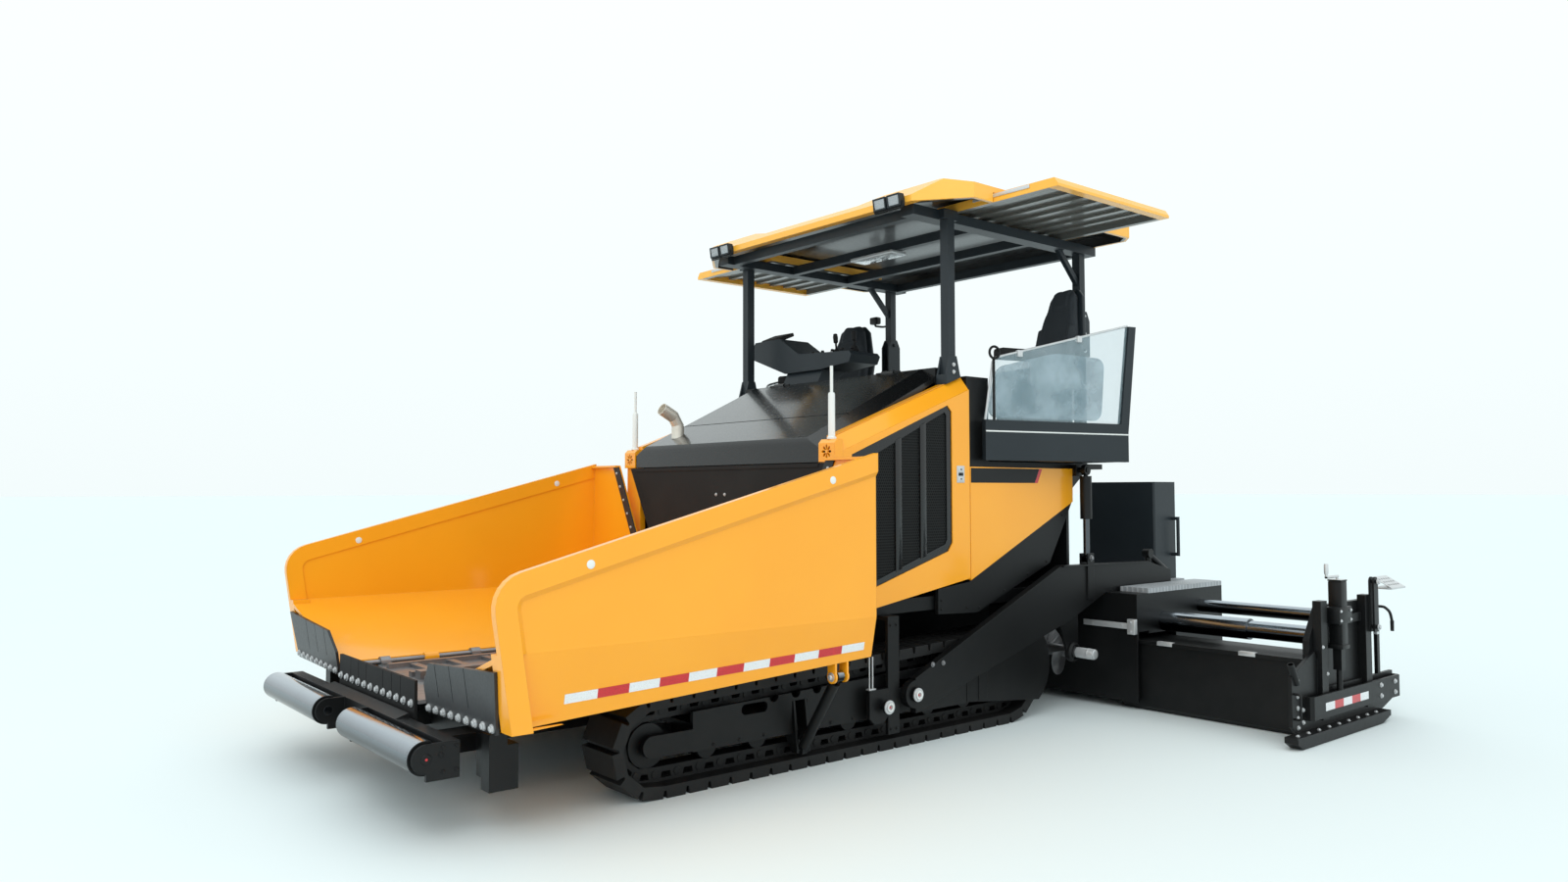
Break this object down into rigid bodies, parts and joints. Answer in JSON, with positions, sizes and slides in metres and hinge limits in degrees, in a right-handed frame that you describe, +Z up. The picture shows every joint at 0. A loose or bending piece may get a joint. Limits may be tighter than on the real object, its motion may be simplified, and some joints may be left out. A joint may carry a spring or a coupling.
{
  "type": "tracked asphalt paver",
  "caption": "Tracked asphalt paver with folding hopper wings, push rollers, augers, canopy with sliding awnings and a lifting floating screed with sliding extensions and end gates.",
  "frame": {"origin": "centre of the machine's footprint box, on the ground", "axes": "+X direction of travel, +Y the machine's left, +Z up"},
  "size_m": [6.65, 5.9206, 3.74],
  "materials": {
    "yellow_paint": "gloss",
    "black_paint": "satin",
    "slate_paint": "satin",
    "track_steel": "matte",
    "wear_steel": "worn",
    "engine_cast": "cast",
    "rubber": "matte",
    "chrome": "polished",
    "bare_steel": "brushed",
    "white_paint": "satin",
    "tread_plate": "tread pattern",
    "clear_glass": "clear",
    "seat_cover": "grained"
  },
  "bodies": {
    "chassis": {"chassis": "black_paint", "engine_block": "engine_cast", "track_frames": "black_paint", "track_left": "track_steel", "track_right": "track_steel", "conveyor": "wear_steel", "hopper_aprons": "rubber", "push_beam": "black_paint", "side_panels": "yellow_paint", "lower_panels": "black_paint", "platform": "black_paint", "console": "slate_paint", "roof_frame": "slate_paint", "roof": "yellow_paint", "work_lights": "slate_paint", "light_poles": "white_paint", "tow_points": "black_paint", "auger_frame": "black_paint"},
    "push_roller_left": {"push_roller_left": "chrome"},
    "push_roller_right": {"push_roller_right": "chrome"},
    "wing_left": {"wing_left": "yellow_paint", "wing_flap_left": "rubber"},
    "wing_right": {"wing_right": "yellow_paint", "wing_flap_right": "rubber"},
    "wing_barrel_left": {"wing_barrel_left": "black_paint"},
    "wing_barrel_right": {"wing_barrel_right": "black_paint"},
    "wing_rod_left": {"wing_rod_left": "chrome"},
    "wing_rod_right": {"wing_rod_right": "chrome"},
    "hood": {"hood": "black_paint", "exhaust": "bare_steel"},
    "door_left": {"door_left": "yellow_paint", "grille_left": "black_paint"},
    "door_right": {"door_right": "yellow_paint", "grille_right": "black_paint"},
    "awning_left": {"awning_left": "yellow_paint"},
    "awning_right": {"awning_right": "yellow_paint"},
    "station_left": {"station_left": "slate_paint", "window_left": "clear_glass", "seat_left": "seat_cover"},
    "station_right": {"station_right": "slate_paint", "window_right": "clear_glass", "seat_right": "seat_cover"},
    "auger_left": {"auger_left": "wear_steel"},
    "auger_right": {"auger_right": "wear_steel"},
    "screed": {"tow_arms": "black_paint", "screed_main": "black_paint", "walkway": "tread_plate", "cabinets": "black_paint"},
    "lift_barrels": {"lift_barrels": "black_paint"},
    "lift_rods": {"lift_rods": "chrome"},
    "extension_left": {"extension_left": "black_paint", "guide_tubes_left": "chrome"},
    "extension_right": {"extension_right": "black_paint", "guide_tubes_right": "chrome"},
    "end_gate_left": {"end_gate_left": "black_paint"},
    "end_gate_right": {"end_gate_right": "black_paint"}
  },
  "joints": [
    {"name": "push_roller_left_spin", "type": "hinge", "parent": "chassis", "child": "push_roller_left", "pos_m": [3.245, 0.7, 0.411], "axis": [0, 1, 0], "continuous": true},
    {"name": "wing_left_fold", "type": "hinge", "parent": "chassis", "child": "wing_left", "pos_m": [1.8, 0.65, 0.58], "axis": [1, 0, 0], "range_deg": [0, 36]},
    {"name": "wing_barrel_left_pivot", "type": "hinge", "parent": "chassis", "child": "wing_barrel_left", "pos_m": [0.97, 1.232, 0.108], "axis": [1, 0, 0], "range_deg": [0, 26.7]},
    {"name": "wing_rod_left_slide", "type": "slide", "parent": "wing_barrel_left", "child": "wing_rod_left", "axis": [0, 0.5604, 0.8282], "range_m": [0, 0.4457]},
    {"name": "push_roller_right_spin", "type": "hinge", "parent": "chassis", "child": "push_roller_right", "pos_m": [3.245, -0.7, 0.411], "axis": [0, 1, 0], "continuous": true},
    {"name": "wing_right_fold", "type": "hinge", "parent": "chassis", "child": "wing_right", "pos_m": [1.8, -0.65, 0.58], "axis": [-1, 0, 0], "range_deg": [0, 36]},
    {"name": "wing_barrel_right_pivot", "type": "hinge", "parent": "chassis", "child": "wing_barrel_right", "pos_m": [0.97, -1.232, 0.108], "axis": [-1, 0, 0], "range_deg": [0, 26.7]},
    {"name": "wing_rod_right_slide", "type": "slide", "parent": "wing_barrel_right", "child": "wing_rod_right", "axis": [0, -0.5604, 0.8282], "range_m": [0, 0.4457]},
    {"name": "hood_lift", "type": "hinge", "parent": "chassis", "child": "hood", "pos_m": [-0.386, 0, 2.489], "axis": [0, -1, 0], "range_deg": [0, 45]},
    {"name": "door_left_swing", "type": "hinge", "parent": "chassis", "child": "door_left", "pos_m": [0.63, 1.23, 1.6], "axis": [0, 0, -1], "range_deg": [0, 80]},
    {"name": "awning_left_slide", "type": "slide", "parent": "chassis", "child": "awning_left", "axis": [0, -1, 0], "range_m": [0, 0.48]},
    {"name": "station_left_swing", "type": "hinge", "parent": "chassis", "child": "station_left", "pos_m": [-0.87, 1.11, 1.86], "axis": [0, 0, 1], "range_deg": [0, 13]},
    {"name": "auger_left_spin", "type": "hinge", "parent": "chassis", "child": "auger_left", "pos_m": [-1.68, 0.7, 0.43], "axis": [0, 1, 0], "continuous": true},
    {"name": "door_right_swing", "type": "hinge", "parent": "chassis", "child": "door_right", "pos_m": [0.63, -1.23, 1.6], "axis": [0, 0, 1], "range_deg": [0, 80]},
    {"name": "awning_right_slide", "type": "slide", "parent": "chassis", "child": "awning_right", "axis": [0, 1, 0], "range_m": [0, 0.48]},
    {"name": "station_right_swing", "type": "hinge", "parent": "chassis", "child": "station_right", "pos_m": [-0.87, -1.11, 1.86], "axis": [0, 0, -1], "range_deg": [0, 13]},
    {"name": "auger_right_spin", "type": "hinge", "parent": "chassis", "child": "auger_right", "pos_m": [-1.68, -0.7, 0.43], "axis": [0, 1, 0], "continuous": true},
    {"name": "screed_lift", "type": "hinge", "parent": "chassis", "child": "screed", "pos_m": [0.108, 0, 0.341], "axis": [0, 1, 0], "range_deg": [0, 7]},
    {"name": "lift_barrel_pivot", "type": "hinge", "parent": "chassis", "child": "lift_barrels", "pos_m": [-1.79, 0, 1.79], "axis": [0, -1, 0], "range_deg": [0, 15.15]},
    {"name": "lift_rod_slide", "type": "slide", "parent": "lift_barrels", "child": "lift_rods", "axis": [0, 0, 1], "range_m": [0, 0.2148]},
    {"name": "extension_left_slide", "type": "slide", "parent": "screed", "child": "extension_left", "axis": [0, -1, 0], "range_m": [0, 1.18]},
    {"name": "end_gate_left_lift", "type": "slide", "parent": "extension_left", "child": "end_gate_left", "axis": [0, 0, 1], "range_m": [0, 0.1]},
    {"name": "extension_right_slide", "type": "slide", "parent": "screed", "child": "extension_right", "axis": [0, 1, 0], "range_m": [0, 1.18]},
    {"name": "end_gate_right_lift", "type": "slide", "parent": "extension_right", "child": "end_gate_right", "axis": [0, 0, 1], "range_m": [0, 0.1]}
  ],
  "couplings": [
    {"joint": "wing_barrel_left_pivot", "follows": "wing_left_fold", "ratio": 0.71384},
    {"joint": "wing_rod_left_slide", "follows": "wing_left_fold", "m_per_rad": 0.7046},
    {"joint": "wing_barrel_right_pivot", "follows": "wing_right_fold", "ratio": 0.71384},
    {"joint": "wing_rod_right_slide", "follows": "wing_right_fold", "m_per_rad": 0.7046},
    {"joint": "lift_barrel_pivot", "follows": "screed_lift", "ratio": 2.0214},
    {"joint": "lift_rod_slide", "follows": "screed_lift", "m_per_rad": 1.7335}
  ]
}
